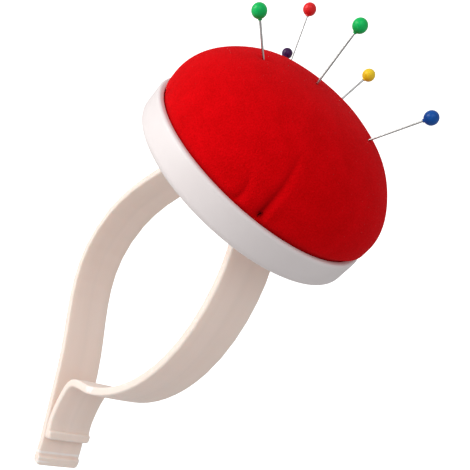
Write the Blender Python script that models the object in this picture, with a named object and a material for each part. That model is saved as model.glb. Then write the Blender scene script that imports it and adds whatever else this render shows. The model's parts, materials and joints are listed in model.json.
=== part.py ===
"""Wrist pin cushion: a stuffed cloth cushion in a shallow plastic cup, on a springy plastic wristband.

The frame is in metres. Its origin is the middle of the wrist seat, the flat underside of the band below the cup.
+Z is the axis of the cup and cushion, X runs round the wrist and Y runs across the band. The band leaves both
sides of the seat, bulges round the wrist and meets again in two tails, one lying on the other. It is one moulding
on the real thing; here it is a bridge and two arms, because the arms flex where they turn down below the cup.
"""

import math

import bmesh
import bpy
from mathutils import Vector

MM = 0.001

# ---- Clearances ----
GAP = 0.3 * MM  # between two pieces that touch
HEAD_FIT = 0.2 * MM  # round a shaft in its moulded head

# ---- Band ----
BAND_WIDTH = 13.2 * MM
BAND_THICKNESS = 2.4 * MM
SEAT_HALF_LENGTH = 11.0 * MM  # flat part each side of the cup's axis
LONG_REACH = 34.2 * MM  # the long arm's bulge, from the cup's axis to mid-thickness
LONG_WAIST = 42.9 * MM  # how far below the seat that bulge lies
SHORT_REACH = 29.25 * MM
SHORT_WAIST = 32.3 * MM
LOOP_DEPTH = 79.5 * MM  # from mid-seat to the tail's line, on the cup's axis
TAIL_ANGLE = math.radians(34.8)  # the tails' slope below X
LONG_TAIL = 20.2 * MM  # straight tail of the long arm, along its line
LONG_CURL = 7.5 * MM  # its turned-down end
CURL_ANGLE = math.radians(53.4)
SHORT_LANDING = 16.5 * MM  # where the short arm comes to lie on the long one, along the tail's line
SHORT_TAIL = 4.2 * MM  # how much of it lies there
KNEE = (16.8 * MM, 13.4 * MM)  # the short arm's nearly straight run, seen from the tail line's start
KNEE_ANGLE = math.radians(130.5)
NECK = (9.5 * MM, 4.05 * MM)  # the short arm's S-bend, from the same point
LIP_HEIGHT = 0.9 * MM  # grip bar across the end of each tail
LIP_LENGTH = 2.2 * MM
FLEX_DROP = 9.0 * MM  # how far below the seat each arm starts to flex

# ---- Cup ----
CUP_RADIUS = 31.6 * MM
CUP_WALL = 1.6 * MM
CUP_FLOOR = 1.6 * MM
CUP_HEIGHT = 7.9 * MM
FOOT_RADIUS = 2.0 * MM  # round between wall and base
RIM_RADIUS = 0.5 * MM

# ---- Rivets that hold the band to the cup ----
RIVET_SPACING = 12.0 * MM
RIVET_SHANK_RADIUS = 1.2 * MM
RIVET_HEAD_RADIUS = 2.4 * MM
RIVET_HEAD_THICKNESS = 0.7 * MM
RIVET_RECESS = 0.1 * MM  # head below the wrist seat
CLINCH_RADIUS = 2.0 * MM
WASHER_RADIUS = 3.0 * MM
WASHER_THICKNESS = 0.6 * MM

# ---- Cushion ----
GLUE_TO_WASHER = 3.5 * MM
GLUE_TO_WALL = 5.0 * MM
GLUE_THICKNESS = 0.8 * MM
CLOTH_THICKNESS = 0.8 * MM
THREAD_RADIUS = 0.3 * MM
THREAD_TO_RIVET = 0.9 * MM
GUARD_THICKNESS = 1.0 * MM
EQUATOR_RISE = 3.4 * MM  # from the cup's rim to the cushion's widest level
DOME_RISE = 20.0 * MM  # from there to its top
DOME_FULLNESS = 0.8  # 1 is an ellipsoid; less is squarer in section
COVER_FOOT_RADIUS = 1.4 * MM

# ---- Pins ----
SHAFT_RADIUS = 0.25 * MM
SHAFT_LENGTH = 26.8 * MM  # from the middle of the head to the point
POINT_LENGTH = 3.0 * MM
NECK_LENGTH = 0.45 * MM  # collar of a head, below its ball
NECK_WALL = 0.25 * MM
HOME_GAP = 0.5 * MM  # cloth to collar, pushed home
CHANNEL_MARGIN = 1.0 * MM  # stuffing left under a pin's channel

# Name, colour, radius of the head; where it enters the dome, as heading and latitude; the way it leans, as
# heading and angle from +Z; and how far its head's middle stands out of the cloth.
PINS = (
    ("left_green_pin", "green", 1.7 * MM, 256, 57.4, 248.5, 45.0, 9.4 * MM),
    ("red_pin", "red", 1.7 * MM, 180, 49.8, 184.0, 34.5, 14.7 * MM),
    ("right_green_pin", "green", 1.7 * MM, 258, 84.4, 250.0, 5.7, 14.6 * MM),
    ("yellow_pin", "yellow", 1.7 * MM, 134, 53.2, 128.4, 26.6, 10.6 * MM),
    ("indigo_pin", "indigo", 1.5 * MM, 172.5, 26.0, 159.0, 58.5, 10.15 * MM),
    ("blue_pin", "blue", 1.7 * MM, 46, 68.4, 43.5, 25.7, 13.6 * MM),
)

# ---- Fineness ----
ROUND_STEPS = 48  # cup and cushion
SMALL_STEPS = 16  # rivets, washers, heads
SHAFT_STEPS = 8
ARC_STEPS = 4
CURVE_STEPS = 9  # for each stretch of the band
DOME_STEPS = 9
HEAD_STEPS = 7
SMOOTH_ANGLE = math.radians(40)
WELD = 1e-6

# ---- Levels that follow from the sizes, from the wrist seat up ----
BASE_Z = BAND_THICKNESS + GAP
FLOOR_Z = BASE_Z + CUP_FLOOR
RIM_Z = BASE_Z + CUP_HEIGHT
GLUE_Z = FLOOR_Z + GAP
COVER_Z = GLUE_Z + GLUE_THICKNESS + GAP
GUARD_Z = COVER_Z + CLOTH_THICKNESS + GAP
STUFFING_Z = GUARD_Z + GUARD_THICKNESS + GAP
EQUATOR_Z = RIM_Z + EQUATOR_RISE
CUP_INNER_RADIUS = CUP_RADIUS - CUP_WALL
TUCKED_RADIUS = CUP_INNER_RADIUS - GAP  # the cushion inside the cup
RIVETS_RADIUS = RIVET_SPACING / 2 + CLINCH_RADIUS  # round both clinched ends
THREAD_RING_RADIUS = RIVETS_RADIUS + THREAD_TO_RIVET + THREAD_RADIUS
GATHER_RADIUS = THREAD_RING_RADIUS + THREAD_RADIUS + GAP  # opening left where the cloth is drawn together

# Name: colour, roughness, metallic value.
FINISHES = {
    "cup_plastic": ((0.86, 0.84, 0.84), 0.35, 0.0),
    "band_plastic": ((0.83, 0.74, 0.66), 0.45, 0.0),
    "rivet_metal": ((0.75, 0.74, 0.72), 0.35, 1.0),
    "glue": ((0.85, 0.80, 0.62), 0.5, 0.0),
    "thread": ((0.55, 0.02, 0.02), 0.8, 0.0),
    "guard_card": ((0.55, 0.45, 0.32), 0.9, 0.0),
    "cover_cloth": ((0.62, 0.0, 0.005), 0.85, 0.0),
    "stuffing_fibre": ((0.85, 0.84, 0.80), 0.95, 0.0),
    "pin_steel": ((0.62, 0.62, 0.62), 0.2, 1.0),
    "green": ((0.0, 0.42, 0.13), 0.2, 0.0),
    "red": ((0.75, 0.02, 0.03), 0.2, 0.0),
    "yellow": ((0.88, 0.66, 0.03), 0.2, 0.0),
    "indigo": ((0.05, 0.02, 0.14), 0.2, 0.0),
    "blue": ((0.0, 0.10, 0.38), 0.2, 0.0),
}


# ---- Building blocks ----
def clear_scene():
    for thing in list(bpy.data.objects):
        bpy.data.objects.remove(thing)


def finish_of(name):
    """The material of that name, made once."""
    made = bpy.data.materials.get(name)
    if made is None:
        colour, roughness, metallic = FINISHES[name]
        made = bpy.data.materials.new(name)
        made.use_nodes = True
        shader = made.node_tree.nodes["Principled BSDF"]
        shader.inputs["Base Color"].default_value = (*colour, 1)
        shader.inputs["Roughness"].default_value = roughness
        shader.inputs["Metallic"].default_value = metallic
    return made


def add_piece(name, shape, finish, location=(0, 0, 0)):
    """Make an object of a bmesh, with its normals out and its round faces smooth."""
    bmesh.ops.recalc_face_normals(shape, faces=shape.faces)
    data = bpy.data.meshes.new(name)
    shape.to_mesh(data)
    shape.free()
    data.shade_smooth()
    data.set_sharp_from_angle(angle=SMOOTH_ANGLE)
    data.materials.append(finish_of(finish))
    piece = bpy.data.objects.new(name, data)
    piece.location = location
    bpy.context.scene.collection.objects.link(piece)
    return piece


def add_empty(name, location, direction=(0, 0, 1)):
    """A parent for moving pieces, on their joint's axis, with its own Z along a direction."""
    parent = bpy.data.objects.new(name, None)
    parent.location = location
    parent.rotation_mode = "QUATERNION"
    parent.rotation_quaternion = Vector(direction).to_track_quat("Z", "Y")
    bpy.context.scene.collection.objects.link(parent)
    return parent


def turned(name, outline, finish, steps, location=(0, 0, 0)):
    """Turn an outline of (radius, height) points about Z. It runs from axis to axis, or else it is a closed ring."""
    shape = bmesh.new()
    points = [shape.verts.new((radius, 0, height)) for radius, height in outline]
    edges = [shape.edges.new(pair) for pair in zip(points, points[1:])]
    if outline[0][0] > 0:
        edges.append(shape.edges.new((points[-1], points[0])))
    bmesh.ops.spin(
        shape, geom=points + edges, cent=(0, 0, 0), axis=(0, 0, 1), angle=math.tau, steps=steps, use_merge=True
    )
    bmesh.ops.remove_doubles(shape, verts=shape.verts, dist=WELD)
    return add_piece(name, shape, finish, location)


def arc(centre, radius, start, end, steps=ARC_STEPS):
    """Points of an arc in the outline's plane, angles in degrees from the radius direction."""
    turns = [math.radians(start + (end - start) * i / steps) for i in range(steps + 1)]
    return [(centre[0] + radius * math.cos(a), centre[1] + radius * math.sin(a)) for a in turns]


def drill(piece, cutter):
    cut = piece.modifiers.new(cutter.name, "BOOLEAN")
    cut.operation = "DIFFERENCE"
    cut.object = cutter


def add_cutter(name, outline, steps, location=(0, 0, 0)):
    """A hidden turned shape that other pieces are drilled with."""
    cutter = turned(name, outline, "pin_steel", steps, location)
    cutter.hide_render = True
    cutter.display_type = "WIRE"
    return cutter


# ---- The band's middle line, as (X, Z) points ----
def heading(angle):
    return Vector((math.cos(angle), -math.sin(angle)))


def bend(start, start_way, start_pull, end, end_way, end_pull):
    """A Bezier stretch from start to end. The ways are directions, and the pulls say how far each one holds."""
    a, d = Vector(start), Vector(end)
    b, c = a + start_way * start_pull, d - end_way * end_pull
    shares = [i / CURVE_STEPS for i in range(1, CURVE_STEPS + 1)]
    return [a * (1 - t) ** 3 + b * 3 * t * (1 - t) ** 2 + c * 3 * t * t * (1 - t) + d * t**3 for t in shares]


def long_line():
    """From the middle of the seat round the long arm to its tip."""
    mid = BAND_THICKNESS / 2
    along = heading(TAIL_ANGLE)
    seat_end = Vector((-SEAT_HALF_LENGTH, mid))
    bulge = Vector((-LONG_REACH, -LONG_WAIST))
    tail_start = Vector((0, mid - LOOP_DEPTH))
    tail_end = tail_start + along * LONG_TAIL
    tip = tail_end + heading((TAIL_ANGLE + CURL_ANGLE) / 2) * LONG_CURL
    down = heading(math.radians(90))
    line = [Vector((0, mid)), seat_end]
    line += bend(seat_end, Vector((-1, 0)), 6.0 * MM, bulge, down, 16.7 * MM)
    line += bend(bulge, down, 26.0 * MM, tail_start, along, 15.8 * MM)
    line.append(tail_end)
    line += bend(tail_end, along, LONG_CURL / 3, tip, heading(CURL_ANGLE), LONG_CURL / 3)
    return line


def short_line():
    """From the middle of the seat round the short arm to its tip, which lies on the long arm's tail."""
    mid = BAND_THICKNESS / 2
    along = heading(TAIL_ANGLE)
    off_tail = Vector((math.sin(TAIL_ANGLE), math.cos(TAIL_ANGLE))) * (BAND_THICKNESS + GAP)
    tail_start = Vector((0, mid - LOOP_DEPTH))
    seat_end = Vector((SEAT_HALF_LENGTH, mid))
    bulge = Vector((SHORT_REACH, -SHORT_WAIST))
    knee = tail_start + Vector(KNEE)
    neck = tail_start + Vector(NECK)
    landing = tail_start + off_tail + along * SHORT_LANDING
    down = heading(math.radians(90))
    line = [Vector((0, mid)), seat_end]
    line += bend(seat_end, Vector((1, 0)), 6.6 * MM, bulge, down, 17.9 * MM)
    line += bend(bulge, down, 12.0 * MM, knee, heading(KNEE_ANGLE), 11.8 * MM)
    line += bend(knee, heading(KNEE_ANGLE), 3.8 * MM, neck, down, 3.2 * MM)
    line += bend(neck, down, 3.4 * MM, landing, along, 2.3 * MM)
    line.append(landing + along * SHORT_TAIL)
    return line


def run_lengths(line):
    """How far along the line each of its points lies."""
    totals = [0.0]
    for a, b in zip(line, line[1:]):
        totals.append(totals[-1] + (b - a).length)
    return totals


def point_at(line, distance):
    totals = run_lengths(line)
    for a, b, low, high in zip(line, line[1:], totals, totals[1:]):
        if distance <= high:
            return a.lerp(b, (distance - low) / (high - low))
    return line[-1]


def stretch(line, start, end):
    """The part of a line between two distances along it."""
    inner = [p for p, s in zip(line, run_lengths(line)) if start + WELD < s < end - WELD]
    return [point_at(line, start), *inner, point_at(line, end)]


def flex_distance(line):
    """How far along the line the band passes the flexing level."""
    for a, b, low, high in zip(line, line[1:], run_lengths(line), run_lengths(line)[1:]):
        if b.y < -FLEX_DROP:
            return low + (high - low) * (a.y + FLEX_DROP) / (a.y - b.y)
    return 0.0


def side_of(line, offset):
    """The line moved sideways, to the left of its run where offset is positive, with mitred corners."""
    runs = [(b - a).normalized() for a, b in zip(line, line[1:])]
    ways = [runs[0], *[(a + b).normalized() for a, b in zip(runs, runs[1:])], runs[-1]]
    runs.append(runs[-1])
    return [p + Vector((-w.y, w.x)) * offset / w.dot(run) for p, w, run in zip(line, ways, runs)]


def flex_point(line, outer):
    """The hinge line of an arm, on the band's outer face. outer is 1 where that is left of the line's run."""
    distance = flex_distance(line)
    ends = [point_at(line, distance - GAP), point_at(line, distance + GAP)]
    before, after = side_of(ends, outer * BAND_THICKNESS / 2)
    return before.lerp(after, 0.5)


def arm_outline(line, lip):
    """The arm's outline past its flexing point, with the grip bar at its end. lip is 1 for the left side, or -1."""
    start, end = flex_distance(line) + GAP / 2, run_lengths(line)[-1]
    body = stretch(line, start, end - LIP_LENGTH)
    bar = [body[-1], *stretch(line, end - LIP_LENGTH, end)[1:]]
    plain = side_of(body, -lip * BAND_THICKNESS / 2) + side_of(bar, -lip * BAND_THICKNESS / 2)[1:]
    raised = side_of(body, lip * BAND_THICKNESS / 2) + side_of(bar, lip * (BAND_THICKNESS / 2 + LIP_HEIGHT))
    return plain + raised[::-1]


def bridge_outline(left, right):
    """The middle of the band, between its two flexing points."""
    left_part = stretch(left, 0, flex_distance(left) - GAP / 2)
    right_part = stretch(right, 0, flex_distance(right) - GAP / 2)
    line = left_part[:0:-1] + right_part[1:]
    return side_of(line, BAND_THICKNESS / 2) + side_of(line, -BAND_THICKNESS / 2)[::-1]


def add_strip(name, outline, finish, origin):
    """Extrude an outline in X and Z across the band's width, as an object whose origin is a point of that plane."""
    shape = bmesh.new()
    near = [shape.verts.new((x - origin.x, -BAND_WIDTH / 2, z - origin.y)) for x, z in outline]
    face = shape.faces.new(near)
    far = bmesh.ops.extrude_face_region(shape, geom=[face], use_keep_orig=True)["geom"]
    moved = [v for v in far if isinstance(v, bmesh.types.BMVert)]
    bmesh.ops.translate(shape, verts=moved, vec=(0, BAND_WIDTH, 0))
    return add_piece(name, shape, finish, (origin.x, 0, origin.y))


# ---- The pieces ----
def build_band():
    left, right = long_line(), short_line()
    bridge = add_strip("band_bridge", bridge_outline(left, right), "band_plastic", Vector((0, 0)))
    add_strip("long_arm", arm_outline(left, 1), "band_plastic", flex_point(left, -1))
    add_strip("short_arm", arm_outline(right, 1), "band_plastic", flex_point(right, 1))
    return bridge


def build_cup():
    foot = (CUP_RADIUS - FOOT_RADIUS, BASE_Z + FOOT_RADIUS)
    rim = (CUP_RADIUS - RIM_RADIUS, RIM_Z - RIM_RADIUS)
    outline = [(0, FLOOR_Z), (CUP_INNER_RADIUS, FLOOR_Z), (CUP_INNER_RADIUS, RIM_Z)]
    outline += arc(rim, RIM_RADIUS, 90, 0, 2) + arc(foot, FOOT_RADIUS, 0, -90) + [(0, BASE_Z)]
    return turned("cup", outline, "cup_plastic", ROUND_STEPS)


def build_rivets(bridge, cup):
    """Two rivets with washers, through the bridge and the cup's floor, their heads sunk in the wrist seat."""
    sunk = RIVET_RECESS + RIVET_HEAD_THICKNESS
    washer_z = FLOOR_Z + GAP
    clinch_z = washer_z + WASHER_THICKNESS + GAP
    top = clinch_z + RIVET_HEAD_THICKNESS
    hole = RIVET_SHANK_RADIUS + GAP
    rivet = [(0, RIVET_RECESS), (RIVET_HEAD_RADIUS, RIVET_RECESS), (RIVET_HEAD_RADIUS, sunk)]
    rivet += [(RIVET_SHANK_RADIUS, sunk), (RIVET_SHANK_RADIUS, clinch_z), (CLINCH_RADIUS, clinch_z)]
    rivet += [(CLINCH_RADIUS, (clinch_z + top) / 2), (RIVET_SHANK_RADIUS, top), (0, top)]
    washer = [(hole, washer_z), (WASHER_RADIUS, washer_z)]
    washer += [(WASHER_RADIUS, washer_z + WASHER_THICKNESS), (hole, washer_z + WASHER_THICKNESS)]
    sink = RIVET_HEAD_RADIUS + GAP
    drilled = [(0, -BAND_THICKNESS), (sink, -BAND_THICKNESS), (sink, sunk + GAP)]
    drilled += [(hole, sunk + GAP), (hole, top), (0, top)]
    for side, x in (("left", -RIVET_SPACING / 2), ("right", RIVET_SPACING / 2)):
        turned(f"{side}_rivet", rivet, "rivet_metal", SMALL_STEPS, (x, 0, 0))
        turned(f"{side}_rivet_washer", washer, "rivet_metal", SMALL_STEPS, (x, 0, 0))
        cutter = add_cutter(f"{side}_rivet_hole", drilled, SMALL_STEPS, (x, 0, 0))
        drill(bridge, cutter)
        drill(cup, cutter)


def dome(depth):
    """The cushion's outline from its widest level to its top, a depth below the cloth's outer face."""
    turns = [math.radians(90 * i / DOME_STEPS) for i in range(DOME_STEPS + 1)]
    wide, tall = CUP_INNER_RADIUS - depth, DOME_RISE - depth
    points = [(wide * math.cos(a) ** DOME_FULLNESS, EQUATOR_Z + tall * math.sin(a)) for a in turns]
    return points[:-1] + [(0, EQUATOR_Z + tall)]


def build_cushion():
    """Cloth gathered under a card disc over stuffing, glued to the cup's floor."""
    glue_top = GLUE_Z + GLUE_THICKNESS
    glue_inner = RIVET_SPACING / 2 + WASHER_RADIUS + GLUE_TO_WASHER
    glue_outer = CUP_INNER_RADIUS - GLUE_TO_WALL
    glue = [(glue_inner, GLUE_Z), (glue_outer, GLUE_Z), (glue_outer, glue_top), (glue_inner, glue_top)]
    turned("glue_ring", glue, "glue", ROUND_STEPS)

    cover_top = COVER_Z + CLOTH_THICKNESS
    inner = TUCKED_RADIUS - CLOTH_THICKNESS
    foot = (TUCKED_RADIUS - COVER_FOOT_RADIUS, COVER_Z + COVER_FOOT_RADIUS)
    outside = [(GATHER_RADIUS, COVER_Z), *arc(foot, COVER_FOOT_RADIUS, -90, 0), (TUCKED_RADIUS, RIM_Z), *dome(0)]
    inside = [(GATHER_RADIUS, cover_top), (inner, cover_top), (inner, RIM_Z), *dome(CLOTH_THICKNESS)]
    cover = shell("cushion_cover", outside, inside, "cover_cloth")

    thread = (THREAD_RING_RADIUS, (COVER_Z + cover_top) / 2)
    turned("gathering_thread", arc(thread, THREAD_RADIUS, 0, 315, 7), "thread", ROUND_STEPS)

    guard_radius = inner - GAP
    guard = [(0, GUARD_Z), (guard_radius, GUARD_Z), (guard_radius, GUARD_Z + GUARD_THICKNESS)]
    turned("pin_guard_disc", guard + [(0, GUARD_Z + GUARD_THICKNESS)], "guard_card", ROUND_STEPS)

    filled = [(0, STUFFING_Z), (guard_radius, STUFFING_Z), (guard_radius, RIM_Z), *dome(CLOTH_THICKNESS + GAP)]
    stuffing = turned("cushion_stuffing", filled, "stuffing_fibre", ROUND_STEPS)
    return cover, stuffing


def shell(name, outside, inside, finish):
    """A turned skin that is open below: its two outlines end on the axis at the top."""
    shape = bmesh.new()
    points = [shape.verts.new((radius, 0, height)) for radius, height in outside[::-1] + inside]
    edges = [shape.edges.new(pair) for pair in zip(points, points[1:])]
    bmesh.ops.spin(
        shape, geom=points + edges, cent=(0, 0, 0), axis=(0, 0, 1), angle=math.tau, steps=ROUND_STEPS, use_merge=True
    )
    bmesh.ops.remove_doubles(shape, verts=shape.verts, dist=WELD)
    return add_piece(name, shape, finish)


def pin_place(pin):
    """Where a pin enters the cloth, and the unit direction from its point to its head."""
    entry_heading, latitude, lean_heading, lean = (math.radians(angle) for angle in pin[3:7])
    radius = CUP_INNER_RADIUS * math.cos(latitude) ** DOME_FULLNESS
    height = EQUATOR_Z + DOME_RISE * math.sin(latitude)
    entry = Vector((radius * math.cos(entry_heading), radius * math.sin(entry_heading), height))
    flat = math.sin(lean)
    return entry, Vector((flat * math.cos(lean_heading), flat * math.sin(lean_heading), math.cos(lean)))


def pin_travel(pin):
    """How far a pin can be pushed in: until its collar nears the cloth or its point nears the guard disc."""
    entry, way = pin_place(pin)
    head_radius, stand = pin[2], pin[7]
    home = stand - head_radius - NECK_LENGTH - HOME_GAP
    point_z = (entry - way * (SHAFT_LENGTH - stand)).z
    return min(home, (point_z - STUFFING_Z - CHANNEL_MARGIN) / way.z)


def build_pins(cover, stuffing):
    """Ball-headed pins, each on an empty whose Z is its shaft's axis, in a channel it slides along."""
    bore = SHAFT_RADIUS + HEAD_FIT
    collar = bore + NECK_WALL
    shaft = [(0, 0), (SHAFT_RADIUS, 0), (SHAFT_RADIUS, POINT_LENGTH - SHAFT_LENGTH), (0, -SHAFT_LENGTH)]
    for pin in PINS:
        name, colour, head_radius, stand = pin[0], pin[1], pin[2], pin[7]
        entry, way = pin_place(pin)
        carrier = add_empty(f"{name}_axis", entry + way * stand, way)
        collar_turn = -math.degrees(math.acos(collar / head_radius))
        head = [(0, GAP), (bore, GAP), (bore, -head_radius - NECK_LENGTH), (collar, -head_radius - NECK_LENGTH)]
        head += arc((0, 0), head_radius, collar_turn, 90, HEAD_STEPS)[:-1] + [(0, head_radius)]
        room, reach = SHAFT_RADIUS + GAP, SHAFT_LENGTH + pin_travel(pin) + GAP
        channel = add_cutter(f"{name}_channel", [(0, -reach), (room, -reach), (room, 0), (0, 0)], SHAFT_STEPS)
        pieces = [turned(f"{name}_shaft", shaft, "pin_steel", SHAFT_STEPS)]
        pieces += [turned(f"{name}_head", head, colour, SMALL_STEPS), channel]
        for piece in pieces:
            piece.parent = carrier
        drill(cover, channel)
        drill(stuffing, channel)


clear_scene()
band_bridge = build_band()
cup = build_cup()
build_rivets(band_bridge, cup)
cushion_cover, cushion_stuffing = build_cushion()
build_pins(cushion_cover, cushion_stuffing)
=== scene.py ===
# %% [markdown]
# # A wrist pin cushion
# A dressmaker wears this on the wrist: a stuffed red cushion in a shallow white cup, on an ivory band
# that springs open and shut, with six ball-headed pins stuck in it. The CAD model holds the sizes and the
# joints. This file gives each piece its real surface. It measures the CAD solids and builds finer pieces
# in the same places, so that a change of the CAD model carries through.
# %% Load the frame
import json
import math
from contextlib import contextmanager

import bmesh
import bpy
import numpy as np
from mathutils import Matrix, Quaternion, Vector, geometry, noise


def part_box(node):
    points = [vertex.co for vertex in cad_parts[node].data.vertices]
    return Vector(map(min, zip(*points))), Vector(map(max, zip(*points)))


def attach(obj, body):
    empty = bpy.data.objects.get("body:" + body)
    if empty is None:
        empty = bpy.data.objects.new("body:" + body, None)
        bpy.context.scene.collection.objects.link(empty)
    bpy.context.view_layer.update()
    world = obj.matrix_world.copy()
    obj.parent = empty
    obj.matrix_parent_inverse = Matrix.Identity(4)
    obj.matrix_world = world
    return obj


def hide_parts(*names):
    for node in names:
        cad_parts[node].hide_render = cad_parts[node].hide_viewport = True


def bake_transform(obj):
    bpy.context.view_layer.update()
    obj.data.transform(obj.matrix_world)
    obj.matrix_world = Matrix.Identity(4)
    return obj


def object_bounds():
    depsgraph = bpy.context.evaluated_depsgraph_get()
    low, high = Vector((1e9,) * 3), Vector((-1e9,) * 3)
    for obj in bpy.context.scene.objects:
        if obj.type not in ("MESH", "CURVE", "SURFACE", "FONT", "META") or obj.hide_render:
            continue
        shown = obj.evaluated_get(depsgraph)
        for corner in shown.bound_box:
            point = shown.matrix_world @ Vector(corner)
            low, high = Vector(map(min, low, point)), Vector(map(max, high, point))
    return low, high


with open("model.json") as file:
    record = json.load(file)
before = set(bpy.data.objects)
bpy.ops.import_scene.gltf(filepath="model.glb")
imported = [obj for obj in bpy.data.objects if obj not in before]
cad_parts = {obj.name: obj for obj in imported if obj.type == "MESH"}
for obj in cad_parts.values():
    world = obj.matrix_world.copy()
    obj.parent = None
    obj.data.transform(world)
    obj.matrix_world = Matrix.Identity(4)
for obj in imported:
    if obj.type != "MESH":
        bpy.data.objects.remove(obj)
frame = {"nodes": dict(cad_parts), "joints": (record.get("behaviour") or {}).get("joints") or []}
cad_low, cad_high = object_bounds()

MM = 0.001
CLEARANCE = 0.3 * MM  # kept between touching pieces
SAME_LEVEL = 0.01 * MM  # corners this close together lie on one level
SAME_POINT = 0.001 * MM  # points this close together are one


def in_mm(values):
    return [round(value / MM, 2) for value in values]


def places_of(piece):
    """The points of a piece's mesh, one row each, in metres."""
    flat = np.empty(len(piece.data.vertices) * 3)
    piece.data.vertices.foreach_get("co", flat)
    return flat.reshape(-1, 3)


def corners(node):
    """The corners of a CAD node at rest."""
    return places_of(frame["nodes"][node])


for plain in list(bpy.data.materials):
    bpy.data.materials.remove(plain)  # the CAD's plain colours make way for the finishes below
print("CAD box in mm, lowest and highest corner:", in_mm(cad_low), in_mm(cad_high))
# %% [markdown]
# ## The camera
# The cushion is seen from a little above and from its right, tilted so that the cup leans to the upper
# right. The camera stands about 15 cm away, as a close-up lens does, so the near rim looks larger than
# the far one. It is placed by an aim point near the cushion's foot, two angles and a roll, which are
# easier to adjust than a matrix.
# %% Camera
CAMERA_AIM = Vector((9.7, -0.3, -5.1)) * MM
CAMERA_AZIMUTH, CAMERA_ELEVATION, CAMERA_ROLL = (math.radians(a) for a in (48.74, 25.27, 43.83))
CAMERA_DISTANCE = 145.9 * MM
CAMERA_LENS, CAMERA_SENSOR = 45.96, 36.0
level_share = math.cos(CAMERA_ELEVATION)
to_camera = Vector((
    math.sin(CAMERA_AZIMUTH) * level_share,
    -math.cos(CAMERA_AZIMUTH) * level_share,
    math.sin(CAMERA_ELEVATION),
))
camera = bpy.data.objects.new("camera", bpy.data.cameras.new("camera"))
camera.data.lens, camera.data.sensor_width = CAMERA_LENS, CAMERA_SENSOR
camera.data.clip_start, camera.data.clip_end = 1 * MM, 20.0
camera.location = CAMERA_AIM + to_camera * CAMERA_DISTANCE
camera.rotation_mode = "QUATERNION"
camera.rotation_quaternion = (-to_camera).to_track_quat("-Z", "Y") @ Quaternion((0, 0, 1), CAMERA_ROLL)
bpy.context.scene.collection.objects.link(camera)
bpy.context.scene.camera = camera
bpy.context.view_layer.update()
camera_right, camera_up = (camera.matrix_world.to_3x3() @ Vector(axis) for axis in ((1, 0, 0), (0, 1, 0)))
print("camera at", in_mm(camera.location), "right", camera_right, "up", camera_up)
# %% [markdown]
# ## Light
# A white sweep, a large soft lamp from the camera's upper left and an even white surround make a
# catalogue picture. Shiny heads and the pale plastic need a surround that is darker than the backdrop, or
# they melt into it: the world is white to the camera and dimmer as a light. The Standard view keeps white
# white.
# %% World and lamps
SURROUND, BACKDROP = 0.57, 1.05  # the world's strength as a light, and as the camera sees it
KEY_POWER, KEY_SIZE, KEY_DISTANCE = 1.8, 0.34, 0.52
FILL_POWER, FILL_SIZE, FILL_DISTANCE = 0.35, 0.30, 0.50
KEY_PLACE, FILL_PLACE = (-0.85, 0.72, 0.5), (0.2, 0.5, 1.0)  # to the camera's right, up and towards it


def put(tree, kind, inputs=(), **settings):
    """Add a node, with its settings, and fill its inputs with values or with other nodes' outputs."""
    added = tree.nodes.new(kind)
    for name, value in settings.items():
        setattr(added, name, value)
    for name, value in dict(inputs).items():
        if isinstance(value, bpy.types.NodeSocket):
            tree.links.new(value, added.inputs[name])
        else:
            added.inputs[name].default_value = value
    return added


def maths(tree, operation, *values):
    """The result of a Math node."""
    return put(tree, "ShaderNodeMath", dict(enumerate(values)), operation=operation).outputs[0]


def as_seen(right, up, near):
    """A direction given the way the camera sees it."""
    return camera_right * right + camera_up * up + to_camera * near


def add_lamp(name, way, power, size, distance, colour):
    """A square soft lamp facing the middle of the object, in a direction and at a distance from there."""
    lamp = bpy.data.objects.new(name, bpy.data.lights.new(name, "AREA"))
    lamp.data.energy, lamp.data.size, lamp.data.color = power, size, colour
    lamp.location = (cad_low + cad_high) / 2 + way.normalized() * distance
    lamp.rotation_mode = "QUATERNION"
    lamp.rotation_quaternion = (-way).to_track_quat("-Z", "Y")
    bpy.context.scene.collection.objects.link(lamp)


world = bpy.data.worlds.new("white_surround")
world.use_nodes = True
world.node_tree.nodes.clear()
seen = put(world.node_tree, "ShaderNodeLightPath").outputs["Is Camera Ray"]
strength = maths(world.node_tree, "MULTIPLY_ADD", seen, BACKDROP - SURROUND, SURROUND)
sky = put(world.node_tree, "ShaderNodeBackground", {"Color": (0.99, 0.99, 1, 1), "Strength": strength})
put(world.node_tree, "ShaderNodeOutputWorld", {"Surface": sky.outputs[0]})
bpy.context.scene.world = world
bpy.context.scene.view_settings.view_transform = "Standard"
add_lamp("key_lamp", as_seen(*KEY_PLACE), KEY_POWER, KEY_SIZE, KEY_DISTANCE, (1.0, 0.985, 0.97))
add_lamp("fill_lamp", as_seen(*FILL_PLACE), FILL_POWER, FILL_SIZE, FILL_DISTANCE, (1.0, 1.0, 1.0))
print("key from", as_seen(*KEY_PLACE).normalized(), "fill from", as_seen(*FILL_PLACE).normalized())
# %% [markdown]
# ## Shared surface effects
# Several pieces are moulded plastic, several are made of fibres and several are polished metal. Each
# effect is made once, as a node group that gives a colour and, where it has them, a roughness and a
# height. Each material sets it its own way. Sizes inside the groups are in metres, because the textures
# read real places on the pieces.
# %% A maker for node groups
COLOUR, NUMBER, PLACE = "NodeSocketColor", "NodeSocketFloat", "NodeSocketVector"


def new_group(name, inputs, outputs):
    """A node group with these sockets, and its inner ends."""
    group = bpy.data.node_groups.new(name, "ShaderNodeTree")
    for label, kind in inputs:
        group.interface.new_socket(label, in_out="INPUT", socket_type=kind)
    for label, kind in outputs:
        group.interface.new_socket(label, in_out="OUTPUT", socket_type=kind)
    return group, group.nodes.new("NodeGroupInput").outputs, group.nodes.new("NodeGroupOutput").inputs


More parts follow.
